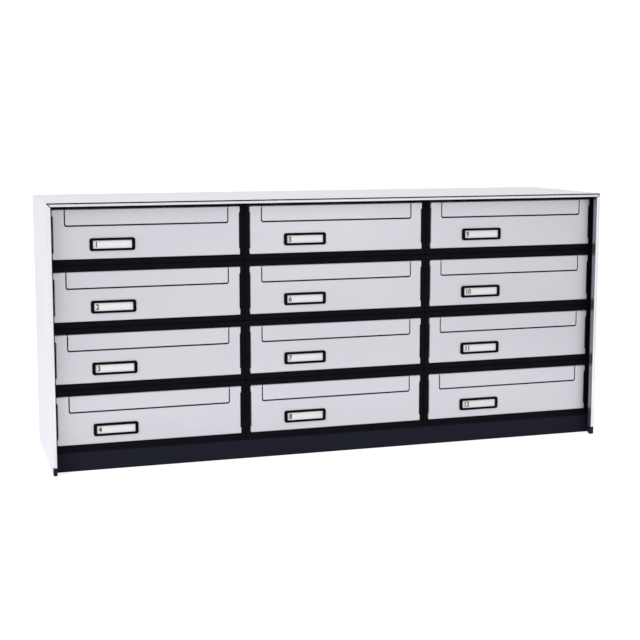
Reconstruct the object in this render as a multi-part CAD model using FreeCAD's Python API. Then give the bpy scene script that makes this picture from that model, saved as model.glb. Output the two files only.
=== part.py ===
import FreeCAD, Part
import math
import os

# Cluster mailbox: twelve letter boxes, three columns by four rows, in a satin
# aluminium case on a black plinth. Millimetres, +Z up, the front faces -Y, the
# origin is on the floor under the middle of the case.

os.makedirs("parts", exist_ok=True)

# Stack of boxes
COLUMNS = 3
ROWS = 4
BOX_WIDTH = 400.0
BOX_HEIGHT = 125.0

# Case
CASE_DEPTH = 320.0
SKIN = 0.8
TOP_CLEARANCE = 1.0
NOSE_FACE = 7.6
NOSE_DEPTH = 15.0
NOSE_ROUND = 2.8
NOSE_REACH = 28.0
TOP_SETBACK = 1.0
REVEAL = 1.8
REVEAL_DEPTH = 8.0
MITRE_GAP = 2.0
FOOT_HEIGHT = 18.0
FOOT_SOLE_ROUND = 7.0
ROUND_LAND = 0.1

# Plinth
PLINTH_HEIGHT = 42.0
PLINTH_BOARD = 18.0
PLINTH_SHADOW = 3.5
PLINTH_SHADOW_DEPTH = 5.0
PLINTH_ROUND = 1.5

# Box shells
WALL = 1.5
FRAME_STILE = 10.0
FRAME_RAIL = 11.0
FRAME_DEPTH = 12.0
FRAME_SEAM = 0.4
FRAME_CORNER = 3.0
FRAME_ROUND = 1.5
REAR_RECESS = 12.0

# Front panels
PANEL_GAP = 1.5
PANEL_SIDE_GAP = 1.5
PANEL_PROUD = 3.0
PANEL_SHEET = 1.2
PANEL_RETURN = 6.0
PANEL_ROUND = 2.6
EAR_HEIGHT = 12.5
EAR_ROOT = 3.6
EAR_REACH = 0.75
EAR_TAPER = 4.0
TAB_HEIGHT = 10.0
TAB_SETBACK = 1.0

# Posting flaps
FLAP_CHEEK = 25.0
FLAP_HEIGHT = 32.0
FLAP_GAP = 2.8
FLAP_SIDE_GAP = 2.0
FLAP_CORNER = 2.5
FLAP_LIP = 18.0
FLAP_STOP = 5.5
FLAP_STOP_WIDTH = 16.0
FLAP_STOP_GAP = 0.1
FLAP_LIP_INSET = 8.0
FLAP_PIN = 0.9
BRACKET_WIDTH = 10.0
BRACKET_DEPTH = 7.0
BRACKET_HEIGHT = 9.0

# Labels
HOLDER_WIDTH = 90.8
HOLDER_HEIGHT = 25.6
HOLDER_DEPTH = 3.2
HOLDER_CORNER = 4.5
HOLDER_ROUND = 0.8
HOLDER_FROM_LEFT = 71.6
HOLDER_FROM_BOTTOM = 16.1
HOLDER_SIDE_BAR = 6.5
HOLDER_LONG_BAR = 4.8
HOLDER_LIP = 1.6
CARD_THICKNESS = 0.4
PANE_THICKNESS = 1.0
CARD_CLEARANCE = 0.2

# Rear doors
DOOR_SHEET = 2.0
DOOR_OVERLAP = 6.0
DOOR_SEAT = 0.3
DOOR_BARREL = 3.0
DOOR_PIN = 1.5
DOOR_CORNER = 4.0
LUG_HEIGHT = 6.0
LUG_MARGIN = 0.7
LUG_CLEARANCE = 0.3
LUG_WALL = 0.6
RUNNING = 0.05

# Locks in the rear doors
LOCK_FROM_FRAME = 18.0
LOCK_FLANGE = 10.0
LOCK_FLANGE_DEPTH = 2.5
LOCK_BODY = 8.0
LOCK_HOLE_CLEARANCE = 0.1
LOCK_NUT = 12.0
LOCK_NUT_DEPTH = 4.0
PLUG = 5.0
PLUG_PROUD = 0.5
KEYWAY_LENGTH = 6.5
KEYWAY_WIDTH = 1.2
KEYWAY_DEPTH = 3.0
CAM_GRIP = 6.0
CAM_WIDTH = 12.0
CAM_CORNER = 3.5
CAM_THICKNESS = 2.5
CAM_CLEARANCE = 1.0
SHANK = 6.0
CAM_SCREW = 4.5
CAM_SCREW_DEPTH = 2.0

# Planes and positions that follow from the sizes
STACK_WIDTH = COLUMNS * BOX_WIDTH
STACK_HEIGHT = ROWS * BOX_HEIGHT
X_STACK = STACK_WIDTH / 2
X_OUTER = X_STACK + SKIN
Z_STACK = PLINTH_HEIGHT
Z_STACK_TOP = Z_STACK + STACK_HEIGHT
Z_SKIN = Z_STACK_TOP + TOP_CLEARANCE
Z_TOP = Z_SKIN + SKIN
Y_NOSE = -CASE_DEPTH / 2
Y_NOSE_BACK = Y_NOSE + NOSE_DEPTH
Y_REAR = CASE_DEPTH / 2
Y_PANEL = Y_NOSE + NOSE_REACH
Y_SHEET_BACK = Y_PANEL + PANEL_SHEET
Y_FRAME = Y_PANEL + PANEL_PROUD
Y_SHELL = Y_FRAME + FRAME_DEPTH
Y_REAR_FRAME = Y_REAR - REAR_RECESS
Y_SHELL_BACK = Y_REAR_FRAME - FRAME_DEPTH

# Positions inside one box, measured from its lower left corner
OPENING_X_END = BOX_WIDTH - FRAME_STILE
OPENING_Z_TOP = BOX_HEIGHT - FRAME_RAIL
PANEL_X = FRAME_STILE + PANEL_SIDE_GAP
PANEL_Z = FRAME_RAIL + PANEL_GAP
PANEL_X_END = OPENING_X_END - PANEL_SIDE_GAP
PANEL_Z_TOP = OPENING_Z_TOP - PANEL_GAP
FLAP_X = PANEL_X + FLAP_CHEEK
FLAP_X_END = PANEL_X_END - FLAP_CHEEK
FLAP_WIDTH = FLAP_X_END - FLAP_X
FLAP_Z = PANEL_Z_TOP - FLAP_HEIGHT
FLAP_AXIS_Y = Y_PANEL + PANEL_ROUND
FLAP_AXIS_Z = PANEL_Z_TOP - PANEL_ROUND
HOLDER_X = PANEL_X + HOLDER_FROM_LEFT
HOLDER_Z = PANEL_Z + HOLDER_FROM_BOTTOM
DOOR_AXIS_X = FRAME_STILE - DOOR_OVERLAP + DOOR_BARREL
DOOR_AXIS_Y = Y_REAR_FRAME + DOOR_SEAT + DOOR_BARREL
DOOR_X_END = OPENING_X_END + DOOR_OVERLAP
DOOR_Z = LUG_MARGIN + LUG_HEIGHT + LUG_CLEARANCE
DOOR_Z_TOP = BOX_HEIGHT - DOOR_Z
DOOR_Y = Y_REAR_FRAME + DOOR_SEAT
DOOR_Y_OUT = DOOR_Y + DOOR_SHEET
LOCK_X = OPENING_X_END - LOCK_FROM_FRAME
LOCK_Z = BOX_HEIGHT / 2
CAM_Y_OUT = Y_SHELL_BACK - CAM_CLEARANCE
CAM_Y = CAM_Y_OUT - CAM_THICKNESS
CAM_REACH = LOCK_FROM_FRAME + CAM_GRIP

X_AXIS = FreeCAD.Vector(1, 0, 0)
Y_AXIS = FreeCAD.Vector(0, 1, 0)
Z_AXIS = FreeCAD.Vector(0, 0, 1)


def block(x0, x1, y0, y1, z0, z1):
    """Box between two opposite corners."""
    return Part.makeBox(x1 - x0, y1 - y0, z1 - z0, FreeCAD.Vector(x0, y0, z0))


def rod(radius, length, x, y, z, axis):
    """Round bar that starts at a point and runs along an axis."""
    return Part.makeCylinder(radius, length, FreeCAD.Vector(x, y, z), axis)


def prism_y(points, y0, y1):
    """Upright outline given as (x, z) points, extruded from y0 to y1."""
    corners = [FreeCAD.Vector(x, y0, z) for x, z in points]
    wire = Part.makePolygon(corners + corners[:1])
    return Part.Face(wire).extrude(Y_AXIS * (y1 - y0))


def straight_edges(shape, axis):
    """Straight edges of a shape that run along an axis."""
    found = []
    for edge in shape.Edges:
        run = edge.Vertexes[-1].Point.sub(edge.Vertexes[0].Point)
        if run.Length > 0 and run.cross(axis).Length < 1e-6 * run.Length:
            found.append(edge)
    return found


def edges_in_plane(shape, y):
    """Edges of a shape that lie wholly in the upright plane at y."""
    found = []
    for edge in shape.Edges:
        bounds = edge.BoundBox
        if abs(bounds.YMin - y) < 1e-6 and abs(bounds.YMax - y) < 1e-6:
            found.append(edge)
    return found


def rounded_block(x0, x1, y0, y1, z0, z1, corner):
    """Box whose four edges along Y are rounded."""
    shape = block(x0, x1, y0, y1, z0, z1)
    return shape.makeFillet(corner, straight_edges(shape, Y_AXIS))


def box_corners():
    """Lower left corner of every box, numbered down each column in turn."""
    corners = []
    for column in range(COLUMNS):
        for row in range(ROWS):
            x = -X_STACK + column * BOX_WIDTH
            z = Z_STACK_TOP - (row + 1) * BOX_HEIGHT
            corners.append(FreeCAD.Vector(x, 0, z))
    return corners


CORNERS = box_corners()


def save(name, solids):
    """Write one node; several solids stay separate inside it."""
    shape = solids[0] if len(solids) == 1 else Part.makeCompound(solids)
    shape.exportStep("parts/" + name + ".step")


def save_in_every_box(name, solids):
    """Write one node that holds a copy of the solids in each box."""
    copies = [solid.translated(corner) for corner in CORNERS for solid in solids]
    save(name, copies)


def save_per_box(name, solids):
    """Write one numbered node per box."""
    for number, corner in enumerate(CORNERS, start=1):
        save("%s_%02d" % (name, number), [solid.translated(corner) for solid in solids])


# Side skins stand on the floor, the top skin lies over them and clears the boxes.
side_skin = block(-X_OUTER, -X_STACK, Y_NOSE_BACK, Y_REAR, 0, Z_SKIN)
save("left_side_skin", [side_skin])
save("right_side_skin", [side_skin.mirror(FreeCAD.Vector(0, 0, 0), X_AXIS)])
save("top_skin", [block(-X_OUTER, X_OUTER, Y_NOSE + TOP_SETBACK, Y_REAR, Z_SKIN, Z_TOP)])

# Nose profiles run round the front edge of the case and meet in open 45 degree mitres.
# A reveal parts the top nose from the edge of the top skin. The narrow face limits the round,
# so that a flat land stays between its two edges.
X_NOSE_IN = X_OUTER - NOSE_FACE
Z_NOSE_IN = Z_SKIN - NOSE_FACE
Z_NOSE_TOP = Z_SKIN - REVEAL
nose_round = min(NOSE_ROUND, (NOSE_FACE - REVEAL - ROUND_LAND) / 2)
side_outline = [
    (-X_OUTER, FOOT_HEIGHT),
    (-X_NOSE_IN, FOOT_HEIGHT),
    (-X_NOSE_IN, Z_NOSE_IN - MITRE_GAP),
    (-X_OUTER, Z_SKIN - MITRE_GAP),
]
top_outline = [
    (-X_OUTER, Z_SKIN),
    (-X_NOSE_IN, Z_NOSE_IN),
    (X_NOSE_IN, Z_NOSE_IN),
    (X_OUTER, Z_SKIN),
]
side_bar = block(-X_OUTER, -X_NOSE_IN, Y_NOSE, Y_NOSE_BACK, FOOT_HEIGHT, Z_SKIN)
side_front = [edge for edge in straight_edges(side_bar, Z_AXIS) if edge.BoundBox.YMax < Y_NOSE_BACK]
side_bar = side_bar.makeFillet(nose_round, side_front)
side_nose = side_bar.common(prism_y(side_outline, Y_NOSE, Y_NOSE_BACK)).Solids[0]
top_bar = block(-X_OUTER, X_OUTER, Y_NOSE, Y_NOSE_BACK, Z_NOSE_IN, Z_SKIN)
reveal = block(-X_OUTER, X_OUTER, Y_NOSE, Y_NOSE + REVEAL_DEPTH, Z_NOSE_TOP, Z_SKIN)
top_bar = top_bar.cut(reveal).Solids[0]
top_front = [edge for edge in edges_in_plane(top_bar, Y_NOSE) if edge.BoundBox.ZLength < NOSE_ROUND]
top_bar = top_bar.makeFillet(nose_round, top_front)
top_nose = top_bar.common(prism_y(top_outline, Y_NOSE, Y_NOSE_BACK)).Solids[0]
save("left_nose", [side_nose])
save("right_nose", [side_nose.mirror(FreeCAD.Vector(0, 0, 0), X_AXIS)])
save("top_nose", [top_nose])

# Black feet close the lower ends of the side noses. Their soles are rounded from front to back,
# as far as the depth of the nose lets them.
sole_round = min(FOOT_SOLE_ROUND, (NOSE_DEPTH - ROUND_LAND) / 2)
foot_blank = block(-X_OUTER, -X_NOSE_IN, Y_NOSE, Y_NOSE_BACK, 0, FOOT_HEIGHT)
foot_sole = [edge for edge in straight_edges(foot_blank, X_AXIS) if edge.BoundBox.ZMax < FOOT_HEIGHT / 2]
foot_sides = [edge for edge in straight_edges(foot_blank, Y_AXIS) if edge.BoundBox.ZMax < FOOT_HEIGHT / 2]
foot_front = [edge for edge in straight_edges(foot_blank, Z_AXIS) if edge.BoundBox.YMax < Y_NOSE_BACK]
foot = foot_blank.makeFillet(sole_round, foot_sole)
foot = foot.common(foot_blank.makeFillet(nose_round, foot_sides))
foot = foot.common(foot_blank.makeFillet(nose_round, foot_front)).Solids[0]
save("nose_feet", [foot, foot.mirror(FreeCAD.Vector(0, 0, 0), X_AXIS)])

# Plinth: two boards across the case and a rib under each line of walls.
Y_PLINTH_IN = Y_FRAME + PLINTH_BOARD
Y_PLINTH_REAR_IN = Y_REAR_FRAME - PLINTH_BOARD
front_board = block(-X_STACK, X_STACK, Y_FRAME, Y_PLINTH_IN, 0, PLINTH_HEIGHT)
shadow = block(
    -X_STACK, X_STACK, Y_FRAME, Y_FRAME + PLINTH_SHADOW_DEPTH, PLINTH_HEIGHT - PLINTH_SHADOW, PLINTH_HEIGHT
)
front_board = front_board.cut(shadow).Solids[0]
board_top = [
    edge
    for edge in edges_in_plane(front_board, Y_FRAME)
    if edge.BoundBox.ZMin > PLINTH_HEIGHT / 2
]
front_board = front_board.makeFillet(PLINTH_ROUND, board_top)
save("plinth_front", [front_board])
save("plinth_rear", [block(-X_STACK, X_STACK, Y_PLINTH_REAR_IN, Y_REAR_FRAME, 0, PLINTH_HEIGHT)])
ribs = []
for line in range(COLUMNS + 1):
    rib_middle = -X_STACK + line * BOX_WIDTH
    rib_x = max(rib_middle - PLINTH_BOARD / 2, -X_STACK)
    rib_x = min(rib_x, X_STACK - PLINTH_BOARD)
    ribs.append(block(rib_x, rib_x + PLINTH_BOARD, Y_PLINTH_IN, Y_PLINTH_REAR_IN, 0, PLINTH_HEIGHT))
save("plinth_ribs", ribs)

# Shell of a box: floor, roof and two walls.
save_in_every_box("box_floors", [block(0, BOX_WIDTH, Y_SHELL, Y_SHELL_BACK, 0, WALL)])
save_in_every_box("box_roofs", [block(0, BOX_WIDTH, Y_SHELL, Y_SHELL_BACK, BOX_HEIGHT - WALL, BOX_HEIGHT)])
left_wall = block(0, WALL, Y_SHELL, Y_SHELL_BACK, WALL, BOX_HEIGHT - WALL)
save_in_every_box("box_left_walls", [left_wall])
save_in_every_box("box_right_walls", [left_wall.translated(X_AXIS * (BOX_WIDTH - WALL))])


def frame(y_outer, y_inner):
    """Moulded frame round the end of a box, rounded towards y_outer."""
    edge = FRAME_SEAM / 2
    y0 = min(y_outer, y_inner)
    y1 = max(y_outer, y_inner)
    shape = rounded_block(edge, BOX_WIDTH - edge, y0, y1, edge, BOX_HEIGHT - edge, FRAME_CORNER)
    shape = shape.makeFillet(FRAME_ROUND, edges_in_plane(shape, y_outer))
    opening = block(FRAME_STILE, OPENING_X_END, y0, y1, FRAME_RAIL, OPENING_Z_TOP)
    return shape.cut(opening).Solids[0]


# Front frames, and rear frames with two lugs that carry the door pin.
save_in_every_box("front_frames", [frame(Y_FRAME, Y_SHELL)])
lug_reach = DOOR_BARREL + LUG_WALL
lug = block(
    DOOR_AXIS_X - lug_reach,
    DOOR_AXIS_X + lug_reach,
    Y_REAR_FRAME - FRAME_ROUND,
    DOOR_AXIS_Y + DOOR_BARREL,
    LUG_MARGIN,
    LUG_MARGIN + LUG_HEIGHT,
)
upper_lug_rise = BOX_HEIGHT - 2 * LUG_MARGIN - LUG_HEIGHT
lugs = [lug, lug.translated(Z_AXIS * upper_lug_rise)]
door_pin_length = BOX_HEIGHT - 2 * LUG_MARGIN
door_pin = rod(DOOR_PIN, door_pin_length, DOOR_AXIS_X, DOOR_AXIS_Y, LUG_MARGIN, Z_AXIS)
rear_frame = frame(Y_REAR_FRAME, Y_SHELL_BACK).multiFuse(lugs).removeSplitter().cut(door_pin).Solids[0]
save_in_every_box("rear_frames", [rear_frame])
save_in_every_box("door_pins", [door_pin])

# Front panel: sheet with returned edges, a slot for the flap, and at each corner a flat ear
# and a tab bent out of the return that bears on the side of the frame opening.
Y_RETURN = Y_PANEL + PANEL_RETURN
tray = block(PANEL_X, PANEL_X_END, Y_PANEL, Y_RETURN, PANEL_Z, PANEL_Z_TOP)
tray = tray.makeFillet(PANEL_ROUND, edges_in_plane(tray, Y_PANEL))
hollow = block(
    PANEL_X + PANEL_SHEET,
    PANEL_X_END - PANEL_SHEET,
    Y_SHEET_BACK,
    Y_RETURN,
    PANEL_Z + PANEL_SHEET,
    PANEL_Z_TOP - PANEL_SHEET,
)
slot = block(
    FLAP_X - FLAP_SIDE_GAP,
    FLAP_X_END + FLAP_SIDE_GAP,
    Y_PANEL,
    Y_RETURN,
    FLAP_Z - FLAP_GAP,
    PANEL_Z_TOP + PANEL_ROUND,
)
slot_low = [edge for edge in straight_edges(slot, Y_AXIS) if edge.BoundBox.ZMax < FLAP_Z]
slot = slot.makeFillet(FLAP_CORNER + FLAP_SIDE_GAP, slot_low)
ear_low = PANEL_Z_TOP - EAR_HEIGHT
ear_outline = [
    (PANEL_X_END - EAR_ROOT, PANEL_Z_TOP),
    (PANEL_X_END - EAR_ROOT, ear_low - EAR_TAPER),
    (PANEL_X_END + EAR_REACH, ear_low),
    (PANEL_X_END + EAR_REACH, PANEL_Z_TOP),
]
ear_bar = block(
    PANEL_X_END - EAR_ROOT, PANEL_X_END + EAR_REACH, Y_PANEL, Y_RETURN, ear_low - EAR_TAPER, PANEL_Z_TOP
)
ear_top = [edge for edge in edges_in_plane(ear_bar, Y_PANEL) if edge.BoundBox.ZMin > ear_low]
ear_bar = ear_bar.makeFillet(PANEL_ROUND, ear_top)
ear = ear_bar.common(prism_y(ear_outline, Y_PANEL, Y_SHEET_BACK)).Solids[0]
tab = block(PANEL_X_END, OPENING_X_END, Y_FRAME + TAB_SETBACK, Y_RETURN, ear_low, ear_low + TAB_HEIGHT)
box_middle = FreeCAD.Vector(BOX_WIDTH / 2, 0, BOX_HEIGHT / 2)
corner_pieces = [ear, tab]
corner_pieces += [piece.mirror(box_middle, X_AXIS) for piece in corner_pieces]
corner_pieces += [piece.mirror(box_middle, Z_AXIS) for piece in corner_pieces]
panel = tray.cut(hollow).cut(slot).multiFuse(corner_pieces).removeSplitter()
save_in_every_box("front_panels", [panel.Solids[0]])

# Posting flap: rolled top edge round the pin, inward lip, two stops behind the panel.
flap_bore = rod(FLAP_PIN + RUNNING, FLAP_WIDTH, FLAP_X, FLAP_AXIS_Y, FLAP_AXIS_Z, X_AXIS)
flap_roll = rod(PANEL_ROUND, FLAP_WIDTH, FLAP_X, FLAP_AXIS_Y, FLAP_AXIS_Z, X_AXIS)
flap_face = block(FLAP_X, FLAP_X_END, Y_PANEL, Y_SHEET_BACK, FLAP_Z, FLAP_AXIS_Z)
face_low = [edge for edge in straight_edges(flap_face, Y_AXIS) if edge.BoundBox.ZMax < FLAP_AXIS_Z]
flap_face = flap_face.makeFillet(FLAP_CORNER, face_low)
flap_lip = block(
    FLAP_X + FLAP_LIP_INSET,
    FLAP_X_END - FLAP_LIP_INSET,
    Y_SHEET_BACK,
    Y_PANEL + FLAP_LIP,
    FLAP_Z,
    FLAP_Z + PANEL_SHEET,
)
Y_STOP = Y_SHEET_BACK + FLAP_STOP_GAP
flap_stop = block(
    FLAP_X + FLAP_LIP_INSET,
    FLAP_X + FLAP_LIP_INSET + FLAP_STOP_WIDTH,
    Y_STOP,
    Y_STOP + PANEL_SHEET,
    FLAP_Z - FLAP_STOP,
    FLAP_Z,
)
far_stop = flap_stop.translated(X_AXIS * (FLAP_WIDTH - 2 * FLAP_LIP_INSET - FLAP_STOP_WIDTH))
flap = flap_roll.multiFuse([flap_face, flap_lip, flap_stop, far_stop]).removeSplitter().cut(flap_bore)
save_per_box("flap", [flap.Solids[0]])

# Flap pin in a bracket at each end, fixed behind the panel.
bracket_x = FLAP_X - FLAP_SIDE_GAP - BRACKET_WIDTH
bracket_far = BOX_WIDTH - 2 * bracket_x - BRACKET_WIDTH
flap_pin_length = FLAP_WIDTH + 2 * FLAP_SIDE_GAP + 2 * BRACKET_WIDTH
flap_pin = rod(FLAP_PIN, flap_pin_length, bracket_x, FLAP_AXIS_Y, FLAP_AXIS_Z, X_AXIS)
bracket = block(
    bracket_x,
    bracket_x + BRACKET_WIDTH,
    Y_SHEET_BACK,
    Y_SHEET_BACK + BRACKET_DEPTH,
    PANEL_Z_TOP - PANEL_SHEET - BRACKET_HEIGHT,
    PANEL_Z_TOP - PANEL_SHEET,
)
bracket = bracket.cut(flap_pin).Solids[0]
save_in_every_box("flap_pins", [flap_pin])
save_in_every_box("flap_brackets", [bracket, bracket.translated(X_AXIS * bracket_far)])

# Label holder: frame with a pocket behind its lip for the card and its clear pane.
HOLDER_X_END = HOLDER_X + HOLDER_WIDTH
HOLDER_Z_TOP = HOLDER_Z + HOLDER_HEIGHT
Y_HOLDER = Y_PANEL - HOLDER_DEPTH
window = (
    HOLDER_X + HOLDER_SIDE_BAR,
    HOLDER_X_END - HOLDER_SIDE_BAR,
    HOLDER_Z + HOLDER_LONG_BAR,
    HOLDER_Z_TOP - HOLDER_LONG_BAR,
)
holder = rounded_block(HOLDER_X, HOLDER_X_END, Y_HOLDER, Y_PANEL, HOLDER_Z, HOLDER_Z_TOP, HOLDER_CORNER)
holder = holder.makeFillet(HOLDER_ROUND, edges_in_plane(holder, Y_HOLDER))
holder = holder.cut(block(window[0], window[1], Y_HOLDER, Y_PANEL, window[2], window[3]))
pocket = (
    window[0] - HOLDER_LIP,
    window[1] + HOLDER_LIP,
    window[2] - HOLDER_LIP,
    window[3] + HOLDER_LIP,
)
Y_CARD = Y_PANEL - CARD_THICKNESS
Y_PANE = Y_CARD - PANE_THICKNESS
holder = holder.cut(block(pocket[0], pocket[1], Y_PANE, Y_PANEL, pocket[2], pocket[3]))
save_in_every_box("label_holders", [holder.Solids[0]])
card_x = pocket[0] + CARD_CLEARANCE
card_x_end = pocket[1] - CARD_CLEARANCE
card_z = pocket[2] + CARD_CLEARANCE
card_z_top = pocket[3] - CARD_CLEARANCE
save_in_every_box("label_cards", [block(card_x, card_x_end, Y_CARD, Y_PANEL, card_z, card_z_top)])
save_in_every_box("label_windows", [block(card_x, card_x_end, Y_PANE, Y_CARD, card_z, card_z_top)])

# Rear door: plate with a rolled hinge edge and the housing of its lock.
plate = block(DOOR_AXIS_X, DOOR_X_END, DOOR_Y, DOOR_Y_OUT, DOOR_Z, DOOR_Z_TOP)
plate_free = [edge for edge in straight_edges(plate, Y_AXIS) if edge.BoundBox.XMin > DOOR_AXIS_X]
plate = plate.makeFillet(DOOR_CORNER, plate_free)
door_height = DOOR_Z_TOP - DOOR_Z
door_roll = rod(DOOR_BARREL, door_height, DOOR_AXIS_X, DOOR_AXIS_Y, DOOR_Z, Z_AXIS)
door_bore = rod(DOOR_PIN + RUNNING, door_height, DOOR_AXIS_X, DOOR_AXIS_Y, DOOR_Z, Z_AXIS)
lock_hole = rod(LOCK_BODY + LOCK_HOLE_CLEARANCE, DOOR_SHEET, LOCK_X, DOOR_Y, LOCK_Z, Y_AXIS)
door = plate.fuse(door_roll).removeSplitter().cut(door_bore).cut(lock_hole)
Y_FLANGE = DOOR_Y_OUT + LOCK_FLANGE_DEPTH
Y_HOUSING = CAM_Y_OUT + RUNNING
nut_outline = []
for corner in range(6):
    turn = corner * math.pi / 3
    nut_outline.append((LOCK_X + LOCK_NUT * math.cos(turn), LOCK_Z + LOCK_NUT * math.sin(turn)))
housing = rod(LOCK_BODY, Y_FLANGE - Y_HOUSING, LOCK_X, Y_HOUSING, LOCK_Z, Y_AXIS)
housing = housing.fuse(rod(LOCK_FLANGE, LOCK_FLANGE_DEPTH, LOCK_X, DOOR_Y_OUT, LOCK_Z, Y_AXIS))
housing = housing.fuse(prism_y(nut_outline, DOOR_Y - LOCK_NUT_DEPTH, DOOR_Y)).removeSplitter()
housing = housing.cut(rod(PLUG + RUNNING, Y_FLANGE - Y_HOUSING, LOCK_X, Y_HOUSING, LOCK_Z, Y_AXIS))
save_per_box("rear_door", [door.Solids[0], housing.Solids[0]])

# Lock plug with a keyway, a square shank for the cam and the screw that holds it.
Y_PLUG = Y_FLANGE + PLUG_PROUD
half_shank = SHANK / 2
plug = rod(PLUG, Y_PLUG - CAM_Y_OUT, LOCK_X, CAM_Y_OUT, LOCK_Z, Y_AXIS)
keyway = block(
    LOCK_X - KEYWAY_WIDTH / 2,
    LOCK_X + KEYWAY_WIDTH / 2,
    Y_PLUG - KEYWAY_DEPTH,
    Y_PLUG,
    LOCK_Z - KEYWAY_LENGTH / 2,
    LOCK_Z + KEYWAY_LENGTH / 2,
)
shank = block(
    LOCK_X - half_shank, LOCK_X + half_shank, CAM_Y, CAM_Y_OUT, LOCK_Z - half_shank, LOCK_Z + half_shank
)
cam_screw = rod(CAM_SCREW, CAM_SCREW_DEPTH, LOCK_X, CAM_Y - CAM_SCREW_DEPTH, LOCK_Z, Y_AXIS)
plug = plug.cut(keyway).multiFuse([shank, cam_screw]).Solids[0]
half_cam = CAM_WIDTH / 2
cam = block(
    LOCK_X - half_cam, LOCK_X + half_cam, CAM_Y, CAM_Y_OUT, LOCK_Z - CAM_REACH, LOCK_Z + half_cam
)
cam = cam.makeFillet(CAM_CORNER, straight_edges(cam, Y_AXIS)).cut(shank)
save_per_box("lock", [plug, cam.Solids[0]])
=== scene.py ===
import math

import bmesh
import bpy
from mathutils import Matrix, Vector


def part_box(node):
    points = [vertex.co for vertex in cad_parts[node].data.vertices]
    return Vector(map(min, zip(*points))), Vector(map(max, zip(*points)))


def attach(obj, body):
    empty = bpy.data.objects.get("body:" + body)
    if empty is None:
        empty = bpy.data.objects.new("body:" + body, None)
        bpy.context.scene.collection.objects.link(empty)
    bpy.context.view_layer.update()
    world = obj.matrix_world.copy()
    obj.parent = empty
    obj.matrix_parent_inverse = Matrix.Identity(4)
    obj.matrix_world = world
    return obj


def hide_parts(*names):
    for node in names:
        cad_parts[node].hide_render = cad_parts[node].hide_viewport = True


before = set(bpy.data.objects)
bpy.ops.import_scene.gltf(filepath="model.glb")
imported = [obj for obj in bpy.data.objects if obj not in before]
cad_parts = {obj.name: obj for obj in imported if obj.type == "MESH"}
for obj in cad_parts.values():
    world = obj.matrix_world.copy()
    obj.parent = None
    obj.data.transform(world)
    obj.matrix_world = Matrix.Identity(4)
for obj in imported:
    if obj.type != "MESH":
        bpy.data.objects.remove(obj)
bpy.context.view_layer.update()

# Studio: a pale sweep without a visible horizon, one broad soft light from the
# left, weaker ones in front, overhead and low before the plinth, and a camera
# that looks slightly down at the posting side from its left end.
scene = bpy.context.scene
scene.view_settings.view_transform = "Standard"

camera_data = bpy.data.cameras.new("camera")
camera_data.sensor_width = 36.0
camera_data.lens = 70.73
camera_data.shift_x = 0.0284
camera_data.shift_y = -0.0480
camera = bpy.data.objects.new("camera", camera_data)
camera.location = (-0.8293, -2.6262, 0.6866)
camera.rotation_euler = (math.radians(82.697), math.radians(0.076), math.radians(-16.767))
scene.collection.objects.link(camera)
scene.camera = camera


def seen_directly(tree):
    """Factor that is 1 where the camera, a reflection or a clear pane looks at the studio itself."""
    path = tree.nodes.new("ShaderNodeLightPath")
    either = tree.nodes.new("ShaderNodeMath")
    either.operation = "MAXIMUM"
    tree.links.new(path.outputs["Is Camera Ray"], either.inputs[0])
    tree.links.new(path.outputs["Is Glossy Ray"], either.inputs[1])
    any_of = tree.nodes.new("ShaderNodeMath")
    any_of.operation = "MAXIMUM"
    tree.links.new(either.outputs["Value"], any_of.inputs[0])
    tree.links.new(path.outputs["Is Transmission Ray"], any_of.inputs[1])
    return any_of.outputs["Value"]


world = bpy.data.worlds.new("studio_air")
scene.world = world
world.use_nodes = True
air = world.node_tree
air.nodes["Background"].inputs["Color"].default_value = (1.0, 1.0, 1.0, 1.0)
air.nodes["Background"].inputs["Strength"].default_value = 0.63
white_air = air.nodes.new("ShaderNodeBackground")
white_air.inputs["Color"].default_value = (1.0, 1.0, 1.0, 1.0)
white_air.inputs["Strength"].default_value = 1.0
air_mix = air.nodes.new("ShaderNodeMixShader")
air.links.new(seen_directly(air), air_mix.inputs["Fac"])
air.links.new(air.nodes["Background"].outputs["Background"], air_mix.inputs[1])
air.links.new(white_air.outputs["Background"], air_mix.inputs[2])
air.links.new(air_mix.outputs["Shader"], air.nodes["World Output"].inputs["Surface"])

sweep_half = 20.0
sweep_height = -0.0002
sweep_mesh = bpy.data.meshes.new("floor")
sweep_mesh.from_pydata(
    [
        (-sweep_half, -sweep_half, sweep_height),
        (sweep_half, -sweep_half, sweep_height),
        (sweep_half, sweep_half, sweep_height),
        (-sweep_half, sweep_half, sweep_height),
    ],
    [],
    [(0, 1, 2, 3)],
)
floor = bpy.data.objects.new("floor", sweep_mesh)
scene.collection.objects.link(floor)
floor_paint = bpy.data.materials.new("floor_paint")
floor_paint.use_nodes = True
floor_tree = floor_paint.node_tree
floor_tree.nodes.remove(floor_tree.nodes["Principled BSDF"])
floor_diffuse = floor_tree.nodes.new("ShaderNodeBsdfDiffuse")
floor_diffuse.inputs["Color"].default_value = (0.6, 0.6, 0.6, 1.0)
floor_glow = floor_tree.nodes.new("ShaderNodeEmission")
floor_glow.inputs["Color"].default_value = (1.0, 1.0, 1.0, 1.0)
floor_sum = floor_tree.nodes.new("ShaderNodeAddShader")
floor_lift = floor_tree.nodes.new("ShaderNodeMath")
floor_lift.operation = "MULTIPLY"
floor_lift.inputs[1].default_value = 0.72
floor_tree.links.new(seen_directly(floor_tree), floor_lift.inputs[0])
floor_tree.links.new(floor_lift.outputs["Value"], floor_glow.inputs["Strength"])
floor_tree.links.new(floor_diffuse.outputs["BSDF"], floor_sum.inputs[0])
floor_tree.links.new(floor_glow.outputs["Emission"], floor_sum.inputs[1])
floor_tree.links.new(floor_sum.outputs["Shader"], floor_tree.nodes["Material Output"].inputs["Surface"])
sweep_mesh.materials.append(floor_paint)


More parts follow.
